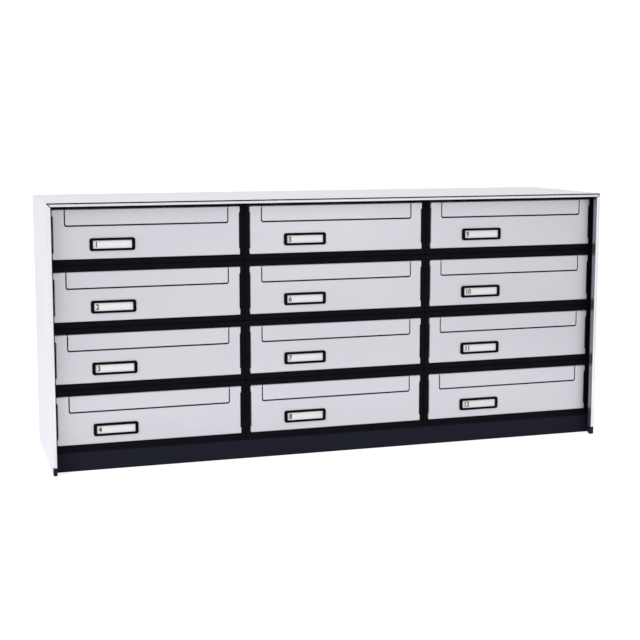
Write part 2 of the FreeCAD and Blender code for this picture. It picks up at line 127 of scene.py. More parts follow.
def soft_light(name, place, aim, width, height, power):
    """Rectangular soft light that faces a point."""
    data = bpy.data.lights.new(name, "AREA")
    data.shape = "RECTANGLE"
    data.size = width
    data.size_y = height
    data.energy = power
    lamp = bpy.data.objects.new(name, data)
    lamp.location = place
    lamp.rotation_euler = (Vector(aim) - Vector(place)).to_track_quat("-Z", "Y").to_euler()
    scene.collection.objects.link(lamp)
    return lamp


soft_light("left_softbox", (-3.0, -2.2, 2.3), (0.0, 0.0, 0.3), 2.4, 2.0, 71.0)
soft_light("front_softbox", (0.95, -3.2, 0.7), (0.0, 0.0, 0.3), 1.0, 1.0, 5.5)
soft_light("overhead_softbox", (0.0, 0.2, 3.2), (0.0, 0.0, 0.3), 3.0, 2.0, 1.5)
soft_light("low_softbox", (0.15, -0.48, 0.045), (0.15, -0.16, 0.09), 1.5, 0.07, 0.19)


# Plinth: two black painted boards and four ribs under the stack of boxes. The
# front board has a shadow groove along its upper edge.
noise_low = 0.3
noise_high = 0.7


def new_finish(name, colour, metallic, roughness):
    """Material whose even values sit on the shader itself."""
    material = bpy.data.materials.new(name)
    material.use_nodes = True
    shader = material.node_tree.nodes["Principled BSDF"]
    shader.inputs["Base Color"].default_value = (*colour, 1.0)
    shader.inputs["Metallic"].default_value = metallic
    shader.inputs["Roughness"].default_value = roughness
    return material, material.node_tree, shader


def grain(tree, scale, stretch, detail):
    """Noise on Object coordinates, drawn out per axis."""
    coords = tree.nodes.new("ShaderNodeTexCoord")
    mapping = tree.nodes.new("ShaderNodeMapping")
    mapping.inputs["Scale"].default_value = stretch
    noise = tree.nodes.new("ShaderNodeTexNoise")
    noise.inputs["Scale"].default_value = scale
    noise.inputs["Detail"].default_value = detail
    tree.links.new(coords.outputs["Object"], mapping.inputs["Vector"])
    tree.links.new(mapping.outputs["Vector"], noise.inputs["Vector"])
    return noise.outputs["Fac"]


def vary(tree, pattern, low, high, shader):
    """Let a pattern move the roughness between two limits."""
    limits = tree.nodes.new("ShaderNodeMapRange")
    limits.inputs["From Min"].default_value = noise_low
    limits.inputs["From Max"].default_value = noise_high
    limits.inputs["To Min"].default_value = low
    limits.inputs["To Max"].default_value = high
    tree.links.new(pattern, limits.inputs["Value"])
    tree.links.new(limits.outputs["Result"], shader.inputs["Roughness"])


def mottle(tree, pattern, dark, light, shader):
    """Let a pattern move the colour between two limits."""
    ramp = tree.nodes.new("ShaderNodeValToRGB")
    ramp.color_ramp.elements[0].position = noise_low
    ramp.color_ramp.elements[0].color = (*dark, 1.0)
    ramp.color_ramp.elements[1].position = noise_high
    ramp.color_ramp.elements[1].color = (*light, 1.0)
    tree.links.new(pattern, ramp.inputs["Fac"])
    tree.links.new(ramp.outputs["Color"], shader.inputs["Base Color"])


def relief(tree, pattern, depth, strength, shader):
    """Let a pattern raise the surface by a depth in metres."""
    bump = tree.nodes.new("ShaderNodeBump")
    bump.inputs["Distance"].default_value = depth
    bump.inputs["Strength"].default_value = strength
    tree.links.new(pattern, bump.inputs["Height"])
    tree.links.new(bump.outputs["Normal"], shader.inputs["Normal"])


def coat_node(node, material):
    """Give a CAD node its finish."""
    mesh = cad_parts[node].data
    mesh.materials.clear()
    mesh.materials.append(material)


plinth_paint, tree, shader = new_finish("plinth_paint", (0.013, 0.0141, 0.0245), 0.0, 0.5)
shader.inputs["Specular IOR Level"].default_value = 0.05
mottle(tree, grain(tree, 9.0, (1, 1, 3), 4.0), (0.012, 0.0131, 0.023), (0.014, 0.0151, 0.026), shader)
vary(tree, grain(tree, 40.0, (1, 1, 1), 3.0), 0.44, 0.58, shader)
relief(tree, grain(tree, 700.0, (1, 1, 1), 2.0), 0.00008, 0.35, shader)
for node in ("plinth_front", "plinth_rear", "plinth_ribs"):
    coat_node(node, plinth_paint)


# Nose feet: two small black plastic shoes pushed into the lower ends of the side
# noses, moulded with rounded soles.
foot_plastic, tree, shader = new_finish("foot_plastic", (0.008, 0.008, 0.011), 0.0, 0.5)
shader.inputs["Specular IOR Level"].default_value = 0.15
mottle(tree, grain(tree, 120.0, (1, 1, 1), 3.0), (0.007, 0.007, 0.010), (0.010, 0.010, 0.013), shader)
vary(tree, grain(tree, 300.0, (1, 1, 1), 2.0), 0.42, 0.6, shader)
relief(tree, grain(tree, 2500.0, (1, 1, 1), 2.0), 0.00004, 0.4, shader)
coat_node("nose_feet", foot_plastic)


# Skins: thin satin anodised aluminium sheets that clad the two ends and the top
# of the stack, their inward faces painted black as painted shade for the dark
# reflection of the frames, their edges dressed so that they are not sharp.
mm = 0.001
edge_dress = 0.3 * mm
dress_segments = 3
crease_angle = math.radians(40)
faces_inwards = 0.99

case_aluminium, tree, shader = new_finish("case_aluminium", (0.774, 0.776, 0.828), 0.4, 0.42)
mottle(tree, grain(tree, 6.0, (1, 1, 1), 4.0), (0.764, 0.766, 0.82), (0.784, 0.786, 0.836), shader)
vary(tree, grain(tree, 60.0, (1, 12, 12), 3.0), 0.38, 0.46, shader)
relief(tree, grain(tree, 900.0, (0.05, 1, 1), 3.0), 0.00001, 0.25, shader)


def dressed_sheet(low, high, dress):
    """Sheet between two corners with all its edges slightly rounded."""
    shape = bmesh.new()
    bmesh.ops.create_cube(shape, size=1.0)
    middle = (low + high) / 2
    span = high - low
    for vertex in shape.verts:
        vertex.co = middle + Vector(vertex.co[i] * span[i] for i in range(3))
    bmesh.ops.bevel(
        shape, geom=shape.edges[:], offset=dress, segments=dress_segments, profile=0.5, affect="EDGES"
    )
    return shape


def finished_mesh(name, shape):
    """Plain mesh with soft shading across rounded edges and flat faces kept flat."""
    mesh = bpy.data.meshes.new(name)
    shape.to_mesh(mesh)
    shape.free()
    mesh.shade_smooth()
    mesh.set_sharp_from_angle(angle=crease_angle)
    return mesh


def settle(name, mesh, modifiers):
    """Object at the origin whose modifiers are worked into a plain mesh."""
    piece = bpy.data.objects.new(name, mesh)
    scene.collection.objects.link(piece)
    for add in modifiers:
        add(piece)
    even = piece.modifiers.new("even_normals", "WEIGHTED_NORMAL")
    even.keep_sharp = True
    depsgraph = bpy.context.evaluated_depsgraph_get()
    plain = bpy.data.meshes.new_from_object(
        piece.evaluated_get(depsgraph), preserve_all_data_layers=True, depsgraph=depsgraph
    )
    piece.modifiers.clear()
    piece.data = plain
    bpy.data.meshes.remove(mesh)
    plain.name = name
    return piece


def fit(piece, body, slot, *nodes):
    """Fix a finished piece to its body in place of its CAD nodes."""
    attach(piece, body)
    if nodes:
        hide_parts(*nodes)
    return piece


# Painted shade: a near-black colour for the inward faces of the skins, standing in for their dark reflection
# of the black frames.
inner_painted_shade, tree, shader = new_finish("inner_painted_shade", (0.006, 0.006, 0.008), 0.0, 0.6)
shader.inputs["Specular IOR Level"].default_value = 0.1
mottle(tree, grain(tree, 14.0, (1, 1, 1), 4.0), (0.005, 0.005, 0.007), (0.007, 0.007, 0.009), shader)
vary(tree, grain(tree, 60.0, (1, 1, 1), 3.0), 0.52, 0.68, shader)
relief(tree, grain(tree, 1200.0, (1, 1, 1), 2.0), 0.00004, 0.35, shader)

for node, inwards in (
    ("left_side_skin", Vector((1, 0, 0))),
    ("right_side_skin", Vector((-1, 0, 0))),
    ("top_skin", Vector((0, 0, -1))),
):
    low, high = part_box(node)
    skin_mesh = finished_mesh("clad_" + node, dressed_sheet(low, high, edge_dress))
    skin_mesh.materials.append(case_aluminium)
    skin_mesh.materials.append(inner_painted_shade)
    # Faces that point into the case get the painted shade.
    for face in skin_mesh.polygons:
        if face.normal.dot(inwards) > faces_inwards:
            face.material_index = 1
    fit(settle("clad_" + node, skin_mesh, []), "cabinet", "satin_aluminium", node)


# Noses: rounded aluminium bars round the front edge of the case, mitred at the
# two top corners, their inner flanks coloured a darker grey as painted shade. A
# black strip lies in the reveal under the top skin and in the mitres as painted
# shade for the shadowed grooves.
nose_round = 2.8 * mm
nose_face = 7.6 * mm
mitre_gap = 2.0 * mm
mitre_dress = 0.3 * mm
reveal = 1.8 * mm
reveal_depth = 8.0 * mm
shade_strip_setback = 1.6 * mm
mitre_shade_strip_setback = 0.5 * mm
shade_strip_dress = 0.3 * mm
nose_steps = 6
faces_flank = 0.9
straight_run = 1e-4
merge_reach = 1e-7
sliver_width = 1e-8

nose_aluminium, tree, shader = new_finish("nose_aluminium", (0.676, 0.68, 0.722), 0.9, 0.3)
mottle(tree, grain(tree, 9.0, (1, 1, 1), 4.0), (0.666, 0.67, 0.714), (0.686, 0.69, 0.73), shader)
vary(tree, grain(tree, 80.0, (1, 12, 1), 3.0), 0.26, 0.34, shader)
relief(tree, grain(tree, 900.0, (1, 1, 0.05), 3.0), 0.00001, 0.2, shader)

# Painted shade: a darker grey for the inner flanks of the side noses, where the shade falls.
flank_painted_shade, tree, shader = new_finish("flank_painted_shade", (0.31, 0.315, 0.34), 0.9, 0.35)
mottle(tree, grain(tree, 9.0, (1, 1, 1), 4.0), (0.295, 0.3, 0.325), (0.325, 0.33, 0.355), shader)
vary(tree, grain(tree, 80.0, (1, 12, 1), 3.0), 0.3, 0.4, shader)
relief(tree, grain(tree, 900.0, (1, 1, 0.05), 3.0), 0.00001, 0.2, shader)


def corner_arc(centre, radius, start, end, steps):
    """Points along an arc from one angle to another, in degrees."""
    points = []
    for step in range(steps + 1):
        turn = math.radians(start + (end - start) * step / steps)
        points.append((centre[0] + radius * math.cos(turn), centre[1] + radius * math.sin(turn)))
    return points


def inset(outline, insets):
    """Anticlockwise outline with each edge moved inwards by its own distance."""
    moved = []
    for i, corner in enumerate(outline):
        ahead = outline[(i + 1) % len(outline)]
        behind = outline[i - 1]
        into = Vector((corner[0] - behind[0], corner[1] - behind[1])).normalized()
        out_of = Vector((ahead[0] - corner[0], ahead[1] - corner[1])).normalized()
        normal_in = Vector((-into.y, into.x))
        normal_out = Vector((-out_of.y, out_of.x))
        area = normal_in.x * normal_out.y - normal_in.y * normal_out.x
        if abs(area) < straight_run:
            shift = normal_out * insets[i]
        else:
            shift = Vector(
                (
                    (insets[i - 1] * normal_out.y - insets[i] * normal_in.y) / area,
                    (insets[i] * normal_in.x - insets[i - 1] * normal_out.x) / area,
                )
            )
        moved.append((corner[0] + shift.x, corner[1] + shift.y))
    return moved


def loft(rings, closed):
    """Skin over rings of equal point counts, capped at its ends or closed on itself."""
    shape = bmesh.new()
    rows = [[shape.verts.new(point) for point in ring] for ring in rings]
    steps = list(zip(rows, rows[1:]))
    if closed:
        steps.append((rows[-1], rows[0]))
    for near, far in steps:
        for i in range(len(near)):
            j = (i + 1) % len(near)
            shape.faces.new((near[i], near[j], far[j], far[i]))
    if not closed:
        shape.faces.new(rows[0])
        shape.faces.new(rows[-1])
    bmesh.ops.remove_doubles(shape, verts=shape.verts[:], dist=merge_reach)
    bmesh.ops.dissolve_degenerate(shape, edges=shape.edges[:], dist=sliver_width)
    bmesh.ops.recalc_face_normals(shape, faces=shape.faces[:])
    return shape


def merged(shapes):
    """Several shapes as one."""
    whole = bmesh.new()
    for shape in shapes:
        part = bpy.data.meshes.new("part")
        shape.to_mesh(part)
        shape.free()
        whole.from_mesh(part)
        bpy.data.meshes.remove(part)
    return whole


nose_low, nose_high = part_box("top_nose")
case_edge = -nose_low.x
nose_front = nose_low.y
nose_back = nose_high.y
stack_top = nose_high.z
nose_under = nose_low.z
foot_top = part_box("nose_feet")[1].z
nose_inner = case_edge - nose_face
nose_top = stack_top - reveal
round_y = nose_front + nose_round

side_profile = [(-case_edge, nose_back)]
side_profile += corner_arc((-case_edge + nose_round, round_y), nose_round, 180, 270, nose_steps)
side_profile += corner_arc((-nose_inner - nose_round, round_y), nose_round, 270, 360, nose_steps)
side_profile += [(-nose_inner, nose_back)]
side_tip = inset(side_profile, [mitre_dress] * len(side_profile))


def side_mitre(x):
    """Height of the mitre face of a side nose."""
    return stack_top - mitre_gap - (x + case_edge)


for node, hand in (("left_nose", 1), ("right_nose", -1)):
    rings = [
        [(hand * x, y, foot_top) for x, y in side_profile],
        [(hand * x, y, side_mitre(x) - mitre_dress) for x, y in side_profile],
        [(hand * x, y, side_mitre(x)) for x, y in side_tip],
    ]
    nose_mesh = finished_mesh("clad_" + node, loft(rings, False))
    nose_mesh.materials.append(nose_aluminium)
    nose_mesh.materials.append(flank_painted_shade)
    # Flanks that face into the case get the painted shade.
    for face in nose_mesh.polygons:
        if face.normal.x * hand > faces_flank:
            face.material_index = 1
    fit(settle("clad_" + node, nose_mesh, []), "cabinet", "satin_aluminium", node)

top_profile = [(nose_back, nose_under), (nose_back, stack_top), (nose_front + reveal_depth, stack_top)]
top_profile += [(nose_front + reveal_depth, nose_top)]
top_profile += corner_arc((round_y, nose_top - nose_round), nose_round, 90, 180, nose_steps)
top_profile += corner_arc((round_y, nose_under + nose_round), nose_round, 180, 270, nose_steps)
top_tip = inset(top_profile, [mitre_dress] * len(top_profile))


def top_mitre(z):
    """How far along the case the mitre face of the top nose lies at a height."""
    return case_edge - (stack_top - z)


rings = [
    [(-top_mitre(z), y, z) for y, z in top_tip],
    [(mitre_dress - top_mitre(z), y, z) for y, z in top_profile],
    [(top_mitre(z) - mitre_dress, y, z) for y, z in top_profile],
    [(top_mitre(z), y, z) for y, z in top_tip],
]
nose_mesh = finished_mesh("clad_top_nose", loft(rings, False))
nose_mesh.materials.append(nose_aluminium)
fit(settle("clad_top_nose", nose_mesh, []), "cabinet", "satin_aluminium", "top_nose")

# Black rubber for the flap buffers, also used as painted shade for the strip in the reveal and the mitres.
buffer_rubber_and_shade_strip, tree, shader = new_finish("buffer_rubber_and_shade_strip", (0.008, 0.008, 0.009), 0.0, 0.8)
shader.inputs["Specular IOR Level"].default_value = 0.15
mottle(tree, grain(tree, 200.0, (1, 1, 1), 3.0), (0.006, 0.006, 0.007), (0.011, 0.011, 0.012), shader)
vary(tree, grain(tree, 500.0, (1, 1, 1), 2.0), 0.7, 0.9, shader)
relief(tree, grain(tree, 3000.0, (1, 1, 1), 2.0), 0.00003, 0.4, shader)
# Painted shade: a black strip in the reveal under the top skin and in the mitre gaps darkens these grooves.
shade_strip_low = Vector((-case_edge + reveal, nose_front + shade_strip_setback, nose_top))
shade_strip_high = Vector((case_edge - reveal, nose_front + reveal_depth, stack_top))
shade_strips = [dressed_sheet(shade_strip_low, shade_strip_high, shade_strip_dress)]
mitre_profile = inset(side_profile, [mitre_shade_strip_setback] * len(side_profile))
for hand in (1, -1):
    shade_strip_rings = [
        [(hand * x, y, side_mitre(x) - mitre_dress) for x, y in mitre_profile],
        [(hand * x, y, side_mitre(x) + mitre_gap) for x, y in mitre_profile],
    ]
    shade_strips.append(loft(shade_strip_rings, False))
shade_strip_mesh = finished_mesh("reveal_painted_shade", merged(shade_strips))
shade_strip_mesh.materials.append(buffer_rubber_and_shade_strip)
fit(settle("reveal_painted_shade", shade_strip_mesh, []), "cabinet", "black_plastic")


# Box shells: floor, roof and two walls of each letter box, folded from black coated
# sheet steel and held between the front and the rear frame.
shell_coat, tree, shader = new_finish("shell_coat", (0.016, 0.016, 0.017), 0.0, 0.6)
shader.inputs["Specular IOR Level"].default_value = 0.3
mottle(tree, grain(tree, 14.0, (1, 1, 1), 4.0), (0.013, 0.013, 0.014), (0.020, 0.020, 0.021), shader)
vary(tree, grain(tree, 60.0, (1, 1, 1), 3.0), 0.52, 0.68, shader)
relief(tree, grain(tree, 1200.0, (1, 1, 1), 2.0), 0.00005, 0.35, shader)
for node in ("box_floors", "box_roofs", "box_left_walls", "box_right_walls"):
    coat_node(node, shell_coat)


# Front frames: one moulded black plastic frame per box, rounded towards the front,
# with a fine seam to its neighbours. The panel sits in its opening.
columns = 3
rows = 4
box_width = 400.0 * mm
box_height = 125.0 * mm
first_corner = Vector((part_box("box_floors")[0].x, 0.0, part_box("box_roofs")[1].z - box_height))
frame_seam = 0.2 * mm
frame_corner = 3.0 * mm
frame_round = 1.5 * mm
frame_stile = 10.0 * mm
frame_rail = 11.0 * mm
opening_dress = 0.4 * mm
square_corner = 0.1 * mm
corner_steps = 6
rim_steps = 5
box_numbers = range(1, columns * rows + 1)

frame_plastic, tree, shader = new_finish("frame_plastic", (0.0042, 0.0044, 0.0062), 0.0, 0.5)
shader.inputs["Specular IOR Level"].default_value = 0.035
mottle(tree, grain(tree, 25.0, (1, 1, 1), 4.0), (0.0034, 0.0036, 0.0052), (0.0052, 0.0054, 0.0074), shader)
vary(tree, grain(tree, 90.0, (1, 1, 1), 3.0), 0.44, 0.6, shader)
relief(tree, grain(tree, 2200.0, (1, 1, 1), 2.0), 0.00003, 0.35, shader)


def rounded_rectangle(x0, x1, z0, z1, radius):
    """Anticlockwise rectangle with rounded corners, the same point count for any radius."""
    points = corner_arc((x0 + radius, z0 + radius), radius, 180, 270, corner_steps)
    points += corner_arc((x1 - radius, z0 + radius), radius, 270, 360, corner_steps)
    points += corner_arc((x1 - radius, z1 - radius), radius, 0, 90, corner_steps)
    points += corner_arc((x0 + radius, z1 - radius), radius, 90, 180, corner_steps)
    return points


def at_depth(outline, y):
    """Upright ring from an outline."""
    return [(x, y, z) for x, z in outline]


def rounded_rim(x0, x1, z0, z1, corner, radius, y_face):
    """Rings that roll a rounded rectangle over into its front face."""
    rings = []
    for step in range(rim_steps + 1):
        turn = math.radians(90.0 * step / rim_steps)
        drawn_in = radius * (1 - math.cos(turn))
        y = y_face + radius * (1 - math.sin(turn))
        drawn_corner = max(corner - drawn_in, square_corner)
        outline = rounded_rectangle(x0 + drawn_in, x1 - drawn_in, z0 + drawn_in, z1 - drawn_in, drawn_corner)
        rings.append(at_depth(outline, y))
    return rings


boxes_tree = bpy.data.node_groups.new("one_in_every_box", "GeometryNodeTree")
for label, kind in (
    ("Piece", "NodeSocketGeometry"),
    ("Columns", "NodeSocketInt"),
    ("Rows", "NodeSocketInt"),
    ("Column Pitch", "NodeSocketFloat"),
    ("Row Pitch", "NodeSocketFloat"),
    ("First Corner", "NodeSocketVector"),
    ("Finish", "NodeSocketMaterial"),
):
    boxes_tree.interface.new_socket(label, in_out="INPUT", socket_type=kind)
boxes_tree.interface.new_socket("Pieces", in_out="OUTPUT", socket_type="NodeSocketGeometry")
box_inputs = {
    item.name: item.identifier for item in boxes_tree.interface.items_tree if item.in_out == "INPUT"
}
given = boxes_tree.nodes.new("NodeGroupInput")
result = boxes_tree.nodes.new("NodeGroupOutput")
along = boxes_tree.nodes.new("ShaderNodeCombineXYZ")
fall = boxes_tree.nodes.new("ShaderNodeMath")
fall.operation = "MULTIPLY"
fall.inputs[1].default_value = -1.0
downwards = boxes_tree.nodes.new("ShaderNodeCombineXYZ")
across = boxes_tree.nodes.new("GeometryNodeMeshLine")
down = boxes_tree.nodes.new("GeometryNodeMeshLine")
hang_columns = boxes_tree.nodes.new("GeometryNodeInstanceOnPoints")
column_points = boxes_tree.nodes.new("GeometryNodeRealizeInstances")
set_in_boxes = boxes_tree.nodes.new("GeometryNodeInstanceOnPoints")
real_pieces = boxes_tree.nodes.new("GeometryNodeRealizeInstances")
finish_pieces = boxes_tree.nodes.new("GeometryNodeSetMaterial")
for source, target in (
    (given.outputs["Column Pitch"], along.inputs["X"]),
    (given.outputs["Row Pitch"], fall.inputs[0]),
    (fall.outputs["Value"], downwards.inputs["Z"]),
    (given.outputs["Columns"], across.inputs["Count"]),
    (given.outputs["First Corner"], across.inputs["Start Location"]),
    (along.outputs["Vector"], across.inputs["Offset"]),
    (given.outputs["Rows"], down.inputs["Count"]),
    (downwards.outputs["Vector"], down.inputs["Offset"]),
    (across.outputs["Mesh"], hang_columns.inputs["Points"]),
    (down.outputs["Mesh"], hang_columns.inputs["Instance"]),
    (hang_columns.outputs["Instances"], column_points.inputs["Geometry"]),
    (column_points.outputs["Geometry"], set_in_boxes.inputs["Points"]),
    (given.outputs["Piece"], set_in_boxes.inputs["Instance"]),
    (set_in_boxes.outputs["Instances"], real_pieces.inputs["Geometry"]),
    (real_pieces.outputs["Geometry"], finish_pieces.inputs["Geometry"]),
    (given.outputs["Finish"], finish_pieces.inputs["Material"]),
    (finish_pieces.outputs["Geometry"], result.inputs["Pieces"]),
):
    boxes_tree.links.new(source, target)


def spread(across_count, down_count, corner, material):
    """Modifier that sets a piece, drawn from a box's lower left corner, into boxes."""

    def add(piece):
        boxes = piece.modifiers.new("boxes", "NODES")
        boxes.node_group = boxes_tree
        boxes[box_inputs["Columns"]] = across_count
        boxes[box_inputs["Rows"]] = down_count
        boxes[box_inputs["Column Pitch"]] = box_width
        boxes[box_inputs["Row Pitch"]] = box_height
        boxes[box_inputs["First Corner"]] = corner
        boxes[box_inputs["Finish"]] = material

    return add


def in_every_box(name, shape, material):
    """One static piece with a copy of the shape in each box."""
    return settle(name, finished_mesh(name, shape), [spread(columns, rows, first_corner, material)])


def box_corner(number):
    """Lower left corner of a box; the boxes are numbered down each column in turn."""
    column, row = divmod(number - 1, rows)
    return first_corner + Vector((column * box_width, 0.0, -row * box_height))


def in_one_box(name, shape, number, material):
    """The shape as a piece of one numbered box."""
    return settle(name, finished_mesh(name, shape), [spread(1, 1, box_corner(number), material)])


frame_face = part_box("front_frames")[0].y
frame_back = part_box("front_frames")[1].y
opening = (frame_stile, box_width - frame_stile, frame_rail, box_height - frame_rail)
outer = (frame_seam, box_width - frame_seam, frame_seam, box_height - frame_seam)
rings = [at_depth(rounded_rectangle(*outer, frame_corner), frame_back)]
rings += rounded_rim(*outer, frame_corner, frame_round, frame_face)
dress = opening_dress
eased = (opening[0] - dress, opening[1] + dress, opening[2] - dress, opening[3] + dress)
rings.append(at_depth(rounded_rectangle(*eased, dress), frame_face))
rings.append(at_depth(rounded_rectangle(*opening, square_corner), frame_face + dress))
rings.append(at_depth(rounded_rectangle(*opening, square_corner), frame_back))
front_frames = in_every_box("moulded_front_frames", loft(rings, True), frame_plastic)
fit(front_frames, "cabinet", "black_plastic", "front_frames")


# Rear frames: the same mouldings at the collection side, each with two lugs that
# carry the pin of its door.
coat_node("rear_frames", frame_plastic)


# Front panels: satin anodised aluminium sheet pressed to shallow trays, with a flat
# ear and a bearing tab at each corner and a slot in the top edge for the flap.
panel_sheet = 1.2 * mm
panel_return = 6.0 * mm
panel_round = 2.6 * mm
panel_round_steps = 6
slot_round = 0.7 * mm
panel_gap = 1.5 * mm
panel_side_gap = 1.5 * mm
ear_height = 12.5 * mm
ear_root = 3.6 * mm
ear_reach = 0.75 * mm
ear_taper = 4.0 * mm
ear_sink = 0.02 * mm
ear_dress = 0.2 * mm
ear_arc_start = 122
ear_arc_steps = 5
tab_height = 10.0 * mm
tab_setback = 1.0 * mm
tab_root = 0.3 * mm
tab_dress = 0.2 * mm
flap_cheek = 25.0 * mm
flap_height = 32.0 * mm
flap_gap = 2.8 * mm
flap_side_gap = 2.0 * mm
flap_corner = 2.5 * mm
slot_steps = 8

panel_aluminium, tree, shader = new_finish("panel_aluminium", (0.593, 0.596, 0.641), 0.5, 0.4)
mottle(tree, grain(tree, 5.0, (1, 1, 2), 4.0), (0.58, 0.583, 0.63), (0.606, 0.609, 0.652), shader)
vary(tree, grain(tree, 90.0, (0.2, 1, 6), 3.0), 0.36, 0.44, shader)
relief(tree, grain(tree, 1100.0, (0.06, 1, 1), 3.0), 0.00001, 0.25, shader)

panel_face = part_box("front_panels")[0].y
sheet_back = panel_face + panel_sheet
panel_x0 = frame_stile + panel_side_gap
panel_x1 = box_width - frame_stile - panel_side_gap
panel_z0 = frame_rail + panel_gap
panel_z1 = box_height - frame_rail - panel_gap
flap_x0 = panel_x0 + flap_cheek
flap_x1 = panel_x1 - flap_cheek
flap_z0 = panel_z1 - flap_height
slot_x0 = flap_x0 - flap_side_gap
slot_x1 = flap_x1 + flap_side_gap
slot_z0 = flap_z0 - flap_gap
slot_corner = flap_corner + flap_side_gap

right_side = [(panel_x1, panel_z0), (panel_x1, panel_z1)]
slot_run = [(slot_x1, panel_z1)]
slot_run += corner_arc((slot_x1 - slot_corner, slot_z0 + slot_corner), slot_corner, 0, -90, slot_steps)
slot_run += corner_arc((slot_x0 + slot_corner, slot_z0 + slot_corner), slot_corner, -90, -180, slot_steps)
slot_run += [(slot_x0, panel_z1)]
left_side = [(box_width - x, z) for x, z in reversed(right_side)]
panel_outline = right_side + slot_run + left_side
slot_first = len(right_side)
slot_last = slot_first + len(slot_run) - 1
slot_edges = range(slot_first, slot_last)
slot_points = range(slot_first + 1, slot_last)


def panel_ring(rim_inset, rim_y, slot_inset, slot_y):
    """Ring round the panel whose rim and slot edge are drawn in separately."""
    insets = [slot_inset if i in slot_edges else rim_inset for i in range(len(panel_outline))]
    ring = []
    for i, (x, z) in enumerate(inset(panel_outline, insets)):
        ring.append((x, slot_y if i in slot_points else rim_y, z))
    return ring


rings = [
    panel_ring(panel_sheet, sheet_back, 0.0, sheet_back),
    panel_ring(panel_sheet, panel_face + panel_return, 0.0, sheet_back),
    panel_ring(0.0, panel_face + panel_return, 0.0, sheet_back),
]
for step in range(panel_round_steps + 1):
    turn = math.radians(90.0 * step / panel_round_steps)
    drawn_in = 1 - math.cos(turn)
    sunk = 1 - math.sin(turn)
    rim_y = panel_face + panel_round * sunk
    slot_y = panel_face + slot_round * sunk
    rings.append(panel_ring(panel_round * drawn_in, rim_y, slot_round * drawn_in, slot_y))
ear_low = panel_z1 - ear_height
ear_face = panel_face + ear_sink
ear_centre = (panel_face + panel_round, panel_z1 - panel_round)
ear_arc = corner_arc(ear_centre, panel_round - ear_sink, ear_arc_start, 180, ear_arc_steps)


def corner_copies(shape):
    """A shape drawn at the upper right corner of a panel, set at all four corners."""
    copies = []
    for flip_x in (False, True):
        for flip_z in (False, True):
            copy = shape.copy()
            for vertex in copy.verts:
                x, y, z = vertex.co
                vertex.co = (box_width - x if flip_x else x, y, box_height - z if flip_z else z)
            bmesh.ops.recalc_face_normals(copy, faces=copy.faces[:])
            copies.append(copy)
    shape.free()
    return copies


def ear_ring(x, foot, drawn_in):
    """Upright section of an ear whose top follows the rounded edge of the panel."""
    section = [(ear_face, foot), (sheet_back, foot)] + ear_arc
    return [(x, y, z) for y, z in inset(section, [drawn_in] * len(section))]


ear = loft(
    [
        ear_ring(panel_x1 - ear_root, ear_low - ear_taper, 0.0),
        ear_ring(panel_x1 + ear_reach - ear_dress, ear_low - ear_dress, 0.0),
        ear_ring(panel_x1 + ear_reach, ear_low, ear_dress),
    ],
    False,
)
tab = dressed_sheet(
    Vector((panel_x1 - tab_root, frame_face + tab_setback, ear_low)),
    Vector((box_width - frame_stile, panel_face + panel_return, ear_low + tab_height)),
    tab_dress,
)
panel_shape = merged([loft(rings, False)] + corner_copies(ear) + corner_copies(tab))
front_panels = in_every_box("pressed_front_panels", panel_shape, panel_aluminium)
fit(front_panels, "cabinet", "panel_aluminium", "front_panels")


# Posting flaps: aluminium strips that close the slots. The top edge is rolled round
# the pin, the lower edge is folded inwards and carries two black rubber buffers.
flap_dress = 0.7 * mm
flap_dress_steps = 4
flap_lip = 18.0 * mm
flap_lip_inset = 8.0 * mm
flap_lip_dress = 0.3 * mm
flap_roll_dress = 0.4 * mm
roll_facets = 32
flap_bore = 0.95 * mm
buffer_width = 16.0 * mm
buffer_reach = 5.5 * mm
buffer_gap = 0.1 * mm
buffer_root = 0.5 * mm
buffer_dress = 0.3 * mm

flap_axis_y = panel_face + panel_round
flap_axis_z = panel_z1 - panel_round


def turned(profile, centre, axis, count):
    """Ring-shaped solid from (radius, distance along the axis) points, closed on itself."""
    rings = []
    for radius, reach in profile:
        ring = []
        for radial, lift in corner_arc((0.0, 0.0), radius, 0, 360, count)[:-1]:
            if axis == "x":
                ring.append((centre[0] + reach, centre[1] + radial, centre[2] + lift))
            elif axis == "y":
                ring.append((centre[0] + radial, centre[1] + reach, centre[2] + lift))
            else:
                ring.append((centre[0] + radial, centre[1] + lift, centre[2] + reach))
        rings.append(ring)
    return loft(rings, True)


flap_outline = [(flap_x1, flap_axis_z), (flap_x0, flap_axis_z)]
flap_outline += corner_arc((flap_x0 + flap_corner, flap_z0 + flap_corner), flap_corner, 180, 270, slot_steps)
flap_outline += corner_arc((flap_x1 - flap_corner, flap_z0 + flap_corner), flap_corner, 270, 360, slot_steps)


def flap_shape():
    """Face, rolled edge and folded lip of one flap."""
    rings = []
    for step in range(flap_dress_steps + 1):
        turn = math.radians(90.0 * step / flap_dress_steps)
        drawn_in = flap_dress * (1 - math.cos(turn))
        insets = [0.0] + [drawn_in] * (len(flap_outline) - 1)
        rings.append(at_depth(inset(flap_outline, insets), panel_face + flap_dress * (1 - math.sin(turn))))
    rings.insert(0, at_depth(flap_outline, sheet_back))
    face = loft(rings, False)
    span = flap_x1 - flap_x0
    soft = flap_roll_dress
    roll_profile = [
        (panel_round - soft, 0.0),
        (panel_round, soft),
        (panel_round, span - soft),
        (panel_round - soft, span),
        (flap_bore, span),
        (flap_bore, 0.0),
    ]
    roll = turned(roll_profile, (flap_x0, flap_axis_y, flap_axis_z), "x", roll_facets)
    lip_low = Vector((flap_x0 + flap_lip_inset, panel_face + panel_sheet / 2, flap_z0))
    lip_high = Vector((flap_x1 - flap_lip_inset, panel_face + flap_lip, flap_z0 + panel_sheet))
    lip = dressed_sheet(lip_low, lip_high, flap_lip_dress)
    return merged([face, roll, lip])


